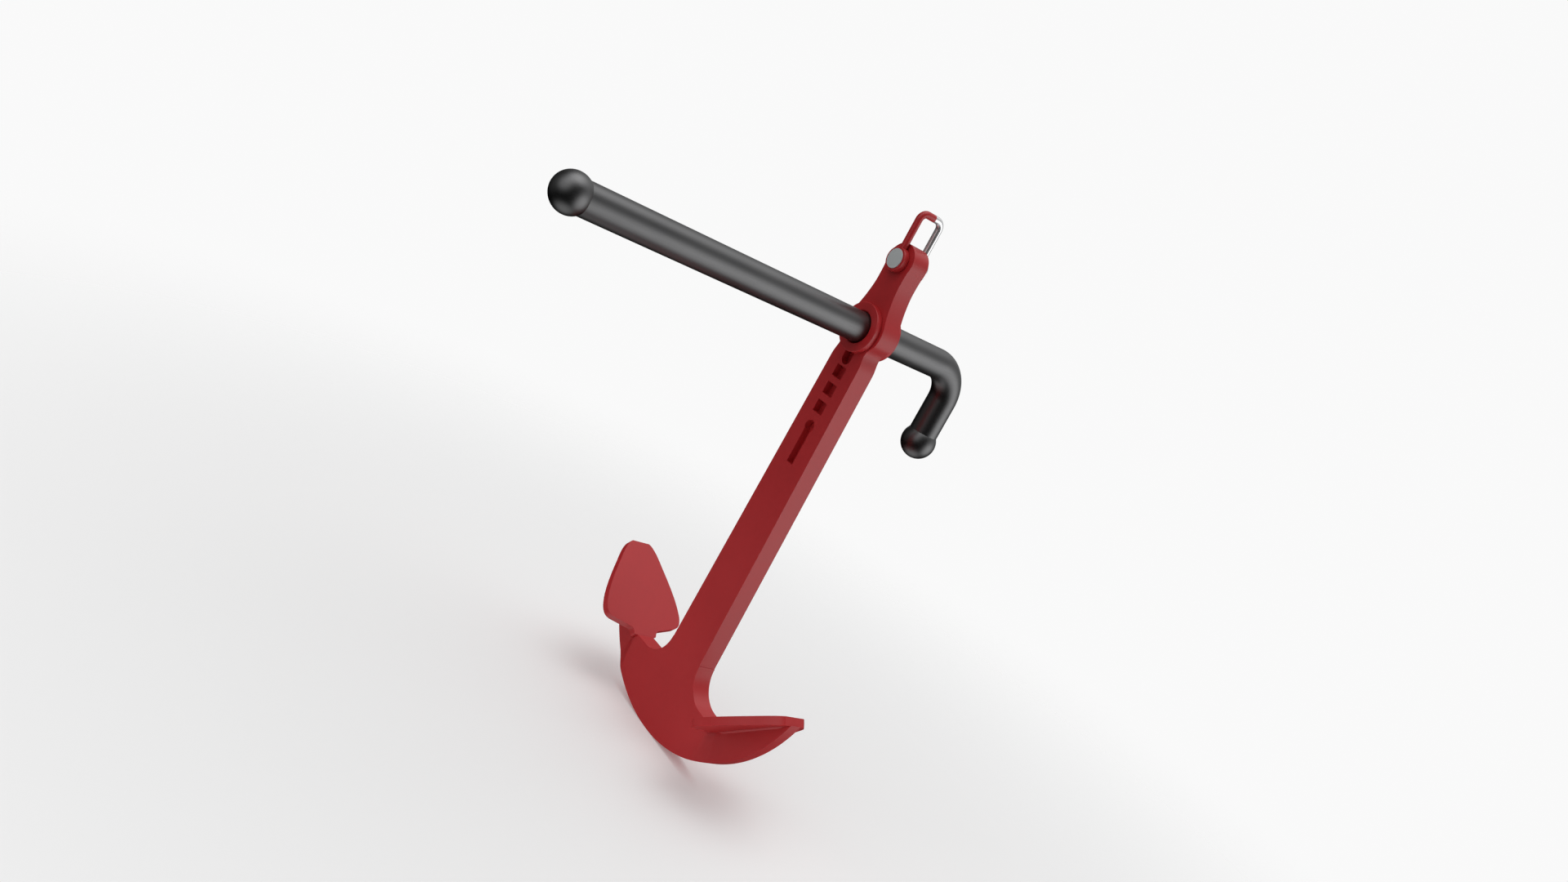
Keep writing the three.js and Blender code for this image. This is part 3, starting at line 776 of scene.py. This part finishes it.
class ANCHOR_OT_crown(bpy.types.Operator):
    """Crown plate that widens into two thinner arms"""

    bl_idname = "anchor.crown"
    bl_label = "Crown and arms"

    def execute(self, context):
        piece = plate("crown_plate", crown_outline(), -HALF_PLATE, HALF_PLATE)
        tools = [arm_thinner(side, hand) for side in (-1, 1) for hand in ("left", "right")]
        combine(piece, tools, "DIFFERENCE")
        neck = on_palm(PALM_NECK, 0, 0)

        def flush(p):
            at_shank = p.z > SHANK_FOOT - 0.1 and abs(p.x) < SHANK_FOOT_HALF + 0.5
            away = Vector((abs(p.x), 0, p.z)) - neck
            at_palm = (away.dot(ALONG_PALM) > -0.1
                       and away.dot(OFF_PALM) > -PALM_THICKNESS - 0.1)
            return at_shank or at_palm

        round_edges(piece, context.scene.anchor_shape.edge, flush)
        place_piece(piece, "shank", "red_paint", material("red_paint"),
                    "crown_arms", "crown_weld_front", "crown_weld_rear")
        return {"FINISHED"}


# ---------- palms ----------
def palm_outline():
    """Half-width of the palm against the place along it, from the tip to the neck and back."""
    tip, ear = PALM_TIP, PALM_EAR_HALF
    knots = [
        ((tip, PALM_TIP_HALF), (tip - 3, PALM_TIP_HALF + 6), (tip - 12, 22), (tip - 24, 27.5)),
        ((tip - 24, 27.5), (tip - 44, 37.5), (tip - 62, 46), (tip - 78, ear)),
        ((tip - 78, ear), (tip - 88, ear + 0.4), (tip - 91, 44), (tip - 92.5, 38)),
        ((tip - 92.5, 38), (tip - 95, 29), (tip - 97, 22), (tip - 98.5, 17)),
        ((tip - 98.5, 17), (tip - 99.5, PALM_NECK_HALF + 1), (PALM_NECK + 4, PALM_NECK_HALF),
         (PALM_NECK + 3, PALM_NECK_HALF)),
        ((PALM_NECK + 3, PALM_NECK_HALF), (PALM_NECK + 1, PALM_NECK_HALF),
         (PALM_NECK, PALM_NECK_HALF - 1), (PALM_NECK, PALM_NECK_HALF - 2.5)),
    ]
    half = [knots[0][0]]
    for knot in knots:
        half += curve(*knot, 16)
    half.append((PALM_NECK, HALF_PLATE))
    return half + [(along, -across) for along, across in reversed(half)]


class ANCHOR_OT_palms(bpy.types.Operator):
    """Two flat palms with rounded ears"""

    bl_idname = "anchor.palms"
    bl_label = "Palms"

    def execute(self, context):
        edge = context.scene.anchor_shape.edge
        for hand, sign in (("right", 1), ("left", -1)):
            flip = Vector((sign, 1, 1))
            corners = [on_palm(along, across, 0) * flip for along, across in palm_outline()]
            piece = extruded(f"palm_plate_{hand}", corners, OFF_PALM * -PALM_THICKNESS * flip)
            neck = on_palm(PALM_NECK, 0, 0)

            def flush(p, flip=flip, neck=neck):
                return (p * flip - neck).dot(ALONG_PALM) < 0.1 and abs(p.y) < HALF_PLATE + 0.1

            round_edges(piece, edge, flush)
            place_piece(piece, "shank", "red_paint", material("red_paint"), f"palm_{hand}")
        return {"FINISHED"}


def weld_bead(name, hand, side, ripple):
    """Rippled bead in the corner under a palm, along one face of its arm."""
    start, end = PALM_NECK + 12, PALM_TIP - 8
    stations, facets = 150, 8
    ripples = (end - start) / WELD_RIPPLE_PITCH
    flip = Vector((1 if hand == "right" else -1, 1, 1))
    rows = []
    for i in range(stations + 1):
        t = i / stations
        along = start + (end - start) * t
        taper = min(1, 14 * t, 14 * (1 - t)) ** 0.5
        swell = 1 + ripple / WELD_LEG * math.sin(2 * math.pi * ripples * t)
        leg = max(WELD_LEG * WELD_FILL * taper * swell, WELD_END_LEG)
        row = [on_palm(along, side * (HALF_ARM - WELD_BACK), WELD_BACK - PALM_THICKNESS)]
        for k in range(facets + 1):
            a = HALF_PI * k / facets
            reach = leg * (1 - 0.2 * math.sin(2 * a))
            row.append(on_palm(along, side * (HALF_ARM + reach * math.cos(a)),
                               -PALM_THICKNESS - reach * math.sin(a)))
        rows.append([corner * flip for corner in row])
    return lofted(name, rows)


class ANCHOR_OT_welds(bpy.types.Operator):
    """Four rippled weld beads in the corners between palms and arms"""

    bl_idname = "anchor.welds"
    bl_label = "Palm welds"

    def execute(self, context):
        ripple = context.scene.anchor_shape.ripple
        for hand in ("right", "left"):
            for where, side in (("front", -1), ("rear", 1)):
                piece = weld_bead(f"weld_bead_{hand}_{where}", hand, side, ripple)
                crease(piece, 50)
                place_piece(piece, "shank", "red_paint", material("red_paint"),
                            f"palm_weld_{hand}_{where}")
        return {"FINISHED"}


# ---------- stock eye ----------
class ANCHOR_OT_collars(bpy.types.Operator):
    """Raised rings round the stock on both faces of the boss"""

    bl_idname = "anchor.collars"
    bl_label = "Eye collars"

    def execute(self, context):
        top = HALF_PLATE + COLLAR_HEIGHT + 0.3
        profile = soften([
            (COLLAR_BORE, HALF_PLATE),
            (COLLAR_RADIUS, HALF_PLATE),
            (COLLAR_RADIUS, top),
            (COLLAR_BORE + COLLAR_CHAMFER, top),
            (COLLAR_BORE, top - COLLAR_CHAMFER),
        ], 0.8, True)
        for where, turn in (("front", math.pi), ("rear", 0)):
            piece = turned(f"collar_ring_{where}", profile, Matrix.Rotation(turn, 4, "Z"),
                           128, ring=True)
            crease(piece)
            place_piece(piece, "shank", "red_paint", material("red_paint"), f"eye_collar_{where}")
        return {"FINISHED"}


class ANCHOR_OT_lock(bpy.types.Operator):
    """Square-head screw that clamps the stock"""

    bl_idname = "anchor.lock"
    bl_label = "Lock screw"

    def execute(self, context):
        head_end = LOCK_HEAD_START - LOCK_HEAD
        half = LOCK_RADIUS
        square = [(-half, -half), (half, -half), (half, half), (-half, half)]
        piece = extruded("lock_screw_square",
                         [(head_end, y, z) for y, z in soften(square, 0.7, True, 3)],
                         (LOCK_HEAD, 0, 0))
        dome = turned("dome", soften([(0, -LOCK_HEAD), (4.6, -LOCK_HEAD), (7.6, -LOCK_HEAD + 1.7),
                                      (7.6, 1), (0, 1)], 0.4),
                      along_x(LOCK_HEAD_START), 64)
        combine(piece, [dome], "INTERSECT")
        thread = [(0, LOCK_HEAD_START - 1), (LOCK_RADIUS, LOCK_HEAD_START - 1),
                  (LOCK_RADIUS, LOCK_HEAD_START)]
        x = LOCK_HEAD_START
        while x + LOCK_PITCH < LOCK_SHAFT_END:
            thread += [(LOCK_RADIUS - 0.8, x + 0.45 * LOCK_PITCH),
                       (LOCK_RADIUS, x + 0.9 * LOCK_PITCH), (LOCK_RADIUS, x + LOCK_PITCH)]
            x += LOCK_PITCH
        thread += [(LOCK_RADIUS - 1, LOCK_SHAFT_END), (0, LOCK_SHAFT_END)]
        combine(piece, [turned("thread", thread, along_x(), 48)], "UNION")
        round_edges(piece, 0.15, angle=40)
        place_piece(piece, "lock_screw", "grey_steel", material("grey_steel"), "lock_screw")
        return {"FINISHED"}


# ---------- stock ----------
LONG_BALL = Matrix.Translation((0, -LONG_END, 0))
LEG_BALL = Matrix.Translation((0, BENT_END, -LEG_DROP)) @ Matrix.Rotation(HALF_PI, 4, "X")


class ANCHOR_OT_stock(bpy.types.Operator):
    """Round stock with its quarter bend"""

    bl_idname = "anchor.stock"
    bl_label = "Stock"

    def execute(self, context):
        path = bent_path((-LONG_END + BALL_FLAT - 0.2, 0), (BENT_END, 0),
                         (BENT_END, -LEG_DROP + BALL_FLAT - 0.2), BEND_RADIUS, 36)
        piece = swept("stock_bar", path, ROD_RADIUS, sides=96)
        crease(piece)
        place_piece(piece, "stock", "dark_steel", material("dark_steel"), "stock_rod")
        return {"FINISHED"}


def ball_profile():
    """From the far side round to the flat that meets the bar, then the blind bore for the stud."""
    flat_angle = math.asin(BALL_FLAT / BALL_RADIUS)
    sphere = [(BALL_RADIUS * math.cos(a), BALL_RADIUS * math.sin(a))
              for a in (-HALF_PI + (HALF_PI + flat_angle) * i / 48 for i in range(49))]
    bore_end = BALL_FLAT - STUD_IN_BALL - 1.3
    return [(0, -BALL_RADIUS), *sphere[1:], (STUD_BORE, BALL_FLAT), (STUD_BORE, bore_end),
            (0, bore_end)]


class ANCHOR_OT_balls(bpy.types.Operator):
    """Ball ends of the stock, each with its grub screw"""

    bl_idname = "anchor.balls"
    bl_label = "Stock balls"

    def execute(self, context):
        grub_y = BALL_FLAT - STUD_IN_BALL + 4
        for end, place in (("long", LONG_BALL), ("leg", LEG_BALL)):
            ball = turned(f"stock_ball_{end}", ball_profile(), place, 96)
            hole = place @ along_x(0, grub_y, 0)
            combine(ball, [rod_tool("hole", GRUB_RADIUS + 0.3, -20, -GRUB_INNER, hole, 48)],
                    "DIFFERENCE")
            round_edges(ball, 0.3, angle=40)
            place_piece(ball, "stock", "dark_steel", material("dark_steel"), f"{end}_ball")
            screw = turned(f"grub_screw_{end}", soften([
                (0, -GRUB_OUTER), (GRUB_RADIUS, -GRUB_OUTER), (GRUB_RADIUS, -GRUB_INNER),
                (0, -GRUB_INNER)], 0.3), hole, 48)
            socket = turned("socket", [(0, -GRUB_OUTER - 1), (1.5, -GRUB_OUTER - 1),
                                       (1.5, -GRUB_OUTER + 2.4), (0, -GRUB_OUTER + 2.4)], hole, 6)
            combine(screw, [socket], "DIFFERENCE")
            crease(screw)
            place_piece(screw, "stock", "grey_steel", material("grey_steel"),
                        f"{end}_ball_grub_screw")
        return {"FINISHED"}


# ---------- shackle ----------
def bow_side(name, side):
    """One side of the bow with its lug."""
    path = bent_path((side * BOW_HALF, LUG_RADIUS - 3.4), (side * BOW_HALF, BOW_RISE),
                     (BOW_SPLIT, BOW_RISE), BOW_CORNER, 24)
    piece = swept(name, path, BAR_RADIUS, PIN_ABOVE_EYE, 48)
    seat = PIN_HEAD_RADIUS if side < 0 else PIN_RADIUS + 0.3
    lug = soften([(PIN_RADIUS + 0.3, LUG_INNER), (LUG_RADIUS, LUG_INNER), (LUG_RADIUS, LUG_OUTER),
                  (seat, LUG_OUTER), (PIN_RADIUS + 0.3, LUG_OUTER - seat + PIN_RADIUS)], 0.7, True)
    turn = Matrix.Rotation(math.pi if side < 0 else 0, 4, "Z")
    combine(piece, [turned("lug", lug, AT_PIN @ turn, 96, ring=True)], "UNION")
    crease(piece, 35)
    return piece


class ANCHOR_OT_shackle(bpy.types.Operator):
    """Painted and polished sides of the bow, and the pin"""

    bl_idname = "anchor.shackle"
    bl_label = "Shackle"

    def execute(self, context):
        painted_side = bow_side("shackle_painted_side", -1)
        place_piece(painted_side, "shackle", "red_paint", material("red_paint"),
                    "shackle_painted_half")
        bright_side = bow_side("shackle_bright_side", 1)
        place_piece(bright_side, "shackle", "polished_steel", material("polished_steel"),
                    "shackle_polished_half")
        cone = PIN_HEAD_RADIUS - PIN_RADIUS
        profile = soften([
            (0, -PIN_HEAD_FACE), (PIN_HEAD_RADIUS, -PIN_HEAD_FACE), (PIN_HEAD_RADIUS, -LUG_OUTER),
            (PIN_RADIUS, -LUG_OUTER + cone), (PIN_RADIUS, LUG_OUTER), (0, LUG_OUTER)], 0.5)
        pin = turned("shackle_pin_turned", profile, AT_PIN, 96)
        crease(pin, 35)
        place_piece(pin, "shackle", "grey_steel", material("pin_face"), "shackle_pin")
        return {"FINISHED"}


class ANCHOR_OT_inner(bpy.types.Operator):
    """Finishes for the inner pieces that keep their solid shape"""

    bl_idname = "anchor.inner"
    bl_label = "Inner pieces"

    def execute(self, context):
        finishes = {
            "bronze": ("eye_bush", "head_bush", "lock_pad"),
            "grey_steel": ("long_ball_stud", "leg_ball_stud", "shackle_joint_stud"),
        }
        for name, nodes in finishes.items():
            for node in nodes:
                mesh = frame["nodes"][node].data
                mesh.materials.clear()
                mesh.materials.append(material(name))
        return {"FINISHED"}


# ---------- stage ----------
# soft panels round the anchor: degrees round from the camera, degrees up, brightness
PANELS = (
    (0, 90, 1.3),        # overhead
    (-45, 68, 0.5),      # high, towards the front face
    (-40, 30, 0.9),      # front left
    (135, 68, 0.7),      # high, at the back
    (90, 10, 0.4),       # right wall
    (85, -18, 1.4),      # low right
    (-90, 5, 0.1),       # left wall
    (135, 25, 0.3),      # right rear
    (180, 20, 0.3),      # rear
    (0, -90, 0.8),       # floor below
)


def studio_world(stage):
    """Dark room with soft panels, seen as an even pale backdrop."""
    finish = Finish("studio", "worlds", "Background")
    way = finish.place_generated()
    light = 0
    for turn, rise, strength in PANELS:
        azimuth, rise = stage.azimuth + math.radians(turn), math.radians(rise)
        centre = (math.sin(azimuth) * math.cos(rise), -math.cos(azimuth) * math.cos(rise),
                  math.sin(rise))
        towards = finish.node("ShaderNodeVectorMath", {"operation": "DOT_PRODUCT"},
                              {0: way, 1: centre}, "Value")
        light = light + finish.node("ShaderNodeMapRange", {"interpolation_type": "SMOOTHSTEP"}, {
            "Value": towards, "From Min": math.cos(stage.panel_width), "From Max": 1.0,
            "To Min": 0.0, "To Max": strength * stage.brightness})
    seen = finish.node("ShaderNodeLightPath", {}, {}, "Is Camera Ray")
    finish.feed(finish.shader, {
        "Color": (1, 1, 1, 1), "Strength": seen * stage.backdrop + (1 - seen) * light})
    bpy.context.scene.world = finish.material


class ANCHOR_OT_stage(bpy.types.Operator):
    """Floor, soft light and camera"""

    bl_idname = "anchor.stage"
    bl_label = "Stage"

    def execute(self, context):
        stage = context.scene.anchor_stage
        low = CAD_BOX[0]
        bm = bmesh.new()
        bmesh.ops.create_circle(bm, cap_ends=True, segments=96, radius=6 / MM)
        floor = new_piece("floor", bm)
        floor.location = (0, 0, low.z - EYE.z)
        finish = Finish("floor")
        place = finish.place()
        away = finish.node("ShaderNodeVectorMath", {"operation": "LENGTH"},
                           {0: finish.stretch(place, (1, 1, 0))}, "Value")
        finish.feed(finish.shader, {
            "Base Color": (*stage.floor, 1), "Roughness": 0.7, "Specular IOR Level": 0.1,
            "Emission Color": (1, 1, 1, 1), "Emission Strength": stage.floor_glow,
            "Alpha": finish.node("ShaderNodeMapRange", {"interpolation_type": "SMOOTHSTEP"}, {
                "Value": away, "From Min": stage.floor_near, "From Max": stage.floor_far,
                "To Min": 1.0, "To Max": 0.0})})
        floor.data.materials.append(finish.material)
        floor.visible_glossy = False

        studio_world(stage)
        context.scene.view_settings.view_transform = "Standard"

        azimuth, elevation = stage.azimuth, stage.elevation
        back = Vector((math.sin(azimuth) * math.cos(elevation),
                       -math.cos(azimuth) * math.cos(elevation), math.sin(elevation)))
        data = bpy.data.cameras.new("camera")
        data.lens = stage.lens
        data.sensor_width = 36
        camera = bpy.data.objects.new("camera", data)
        context.scene.collection.objects.link(camera)
        camera.location = Vector(stage.aim) + back * stage.distance
        camera.rotation_mode = "QUATERNION"
        camera.rotation_quaternion = (back.to_track_quat("Z", "Y")
                                      @ Quaternion((0, 0, 1), stage.roll))
        context.scene.camera = camera
        return {"FINISHED"}


# ---------- panel and registration ----------
OPERATORS = (
    ANCHOR_OT_stage, ANCHOR_OT_shank, ANCHOR_OT_crown, ANCHOR_OT_palms, ANCHOR_OT_welds,
    ANCHOR_OT_collars, ANCHOR_OT_lock, ANCHOR_OT_stock, ANCHOR_OT_balls, ANCHOR_OT_shackle,
    ANCHOR_OT_inner,
)
SETTINGS = {
    "anchor_shape": AnchorShape,
    "anchor_finish": AnchorFinish,
    "anchor_stage": AnchorStage,
}


class ANCHOR_PT_panel(bpy.types.Panel):
    """Settings and build steps of the anchor"""

    bl_label = "Stocked anchor"
    bl_space_type = "VIEW_3D"
    bl_region_type = "UI"
    bl_category = "Anchor"

    def draw(self, context):
        for name, group in SETTINGS.items():
            box = self.layout.box()
            box.label(text=group.__doc__)
            for prop in group.__annotations__:
                box.prop(getattr(context.scene, name), prop)
        for operator in OPERATORS:
            self.layout.operator(operator.bl_idname)


def register():
    for item in (*SETTINGS.values(), *OPERATORS, ANCHOR_PT_panel):
        bpy.utils.register_class(item)
    for name, group in SETTINGS.items():
        setattr(bpy.types.Scene, name, bpy.props.PointerProperty(type=group))


def unregister():
    for name in SETTINGS:
        delattr(bpy.types.Scene, name)
    for item in reversed((*SETTINGS.values(), *OPERATORS, ANCHOR_PT_panel)):
        bpy.utils.unregister_class(item)


def main():
    register()
    for operator in OPERATORS:
        group, name = operator.bl_idname.split(".")
        getattr(getattr(bpy.ops, group), name)()


if __name__ == "__main__":
    main()
